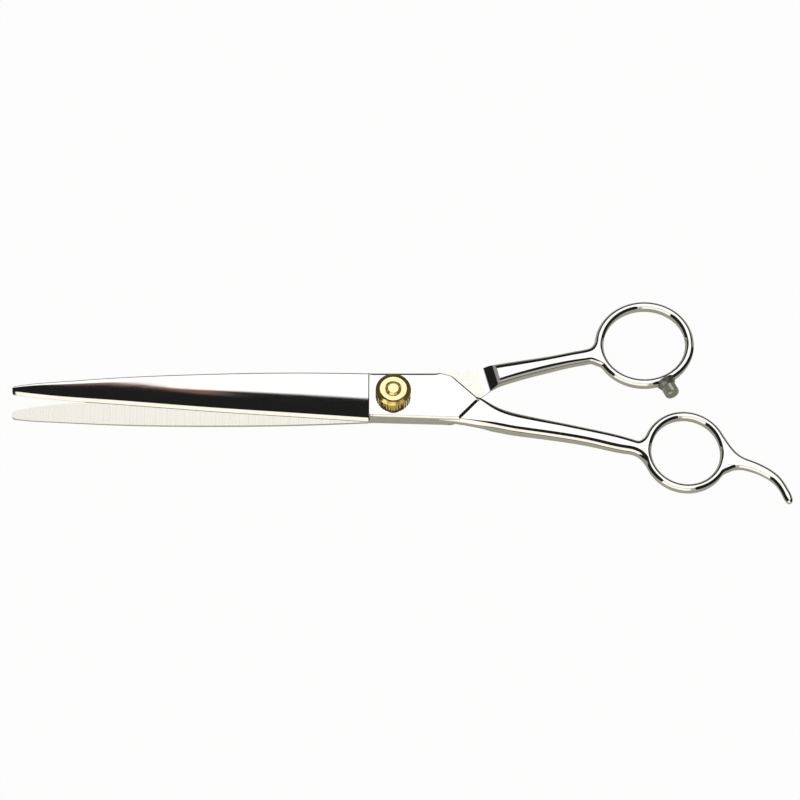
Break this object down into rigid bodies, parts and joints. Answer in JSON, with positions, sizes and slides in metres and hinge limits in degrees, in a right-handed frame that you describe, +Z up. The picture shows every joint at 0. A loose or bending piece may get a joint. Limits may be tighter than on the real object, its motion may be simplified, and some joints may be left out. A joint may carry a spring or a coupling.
{
  "type": "hair cutting shears",
  "caption": "Long-bladed hair cutting shears with offset finger and thumb rings, an integral finger rest, a rubber stop and a knurled thumb nut that sets the pivot tension.",
  "frame": {"origin": "bottom centre of the bounding box of the shears lying flat, slightly open, on the rear half's outer pivot face", "axes": "+X from the blade tips towards the finger rings, +Y towards the thumb ring, +Z up along the pivot bolt towards the thumb nut"},
  "size_m": [0.2202, 0.063, 0.012],
  "materials": {
    "polished_steel": "mirror polished stainless steel, the inner blade faces fine cross ground",
    "turned_steel": "turned and lightly brushed steel",
    "spring_steel": "satin spring steel",
    "gold_plated_nut": "polished gold-coloured plating over knurled brass",
    "nylon": "plain natural nylon",
    "bumper_rubber": "smooth dark grey-olive elastomer"
  },
  "bodies": {
    "rear_half": {"rear_blade_half": "polished_steel", "pivot_bolt": "gold_plated_nut", "spring_washer": "spring_steel", "stop_bumper": "bumper_rubber"},
    "front_half": {"front_blade_half": "polished_steel", "pivot_bushing": "turned_steel", "friction_washer": "nylon"},
    "washer_carrier": {"flat_washer": "turned_steel"},
    "nut": {"thumb_nut": "gold_plated_nut", "nut_lock_ring": "nylon"}
  },
  "joints": [
    {"name": "blade_pivot", "type": "hinge", "parent": "rear_half", "child": "front_half", "pos_m": [-0.00187, 0.00036, 0.003], "axis": [0, 0, -1], "range_deg": [-3.6, 60]},
    {"name": "nut_travel", "type": "slide", "parent": "rear_half", "child": "washer_carrier", "axis": [0, 0, 1], "range_m": [-0.000166, 0.000166], "deforming": ["spring_washer"]},
    {"name": "nut_turn", "type": "hinge", "parent": "washer_carrier", "child": "nut", "pos_m": [-0.00187, 0.00036, 0.0076], "axis": [0, 0, 1], "range_deg": [-120, 120]}
  ],
  "couplings": [
    {"joint": "nut_turn", "follows": "nut_travel", "rad_per_m": 12566}
  ]
}
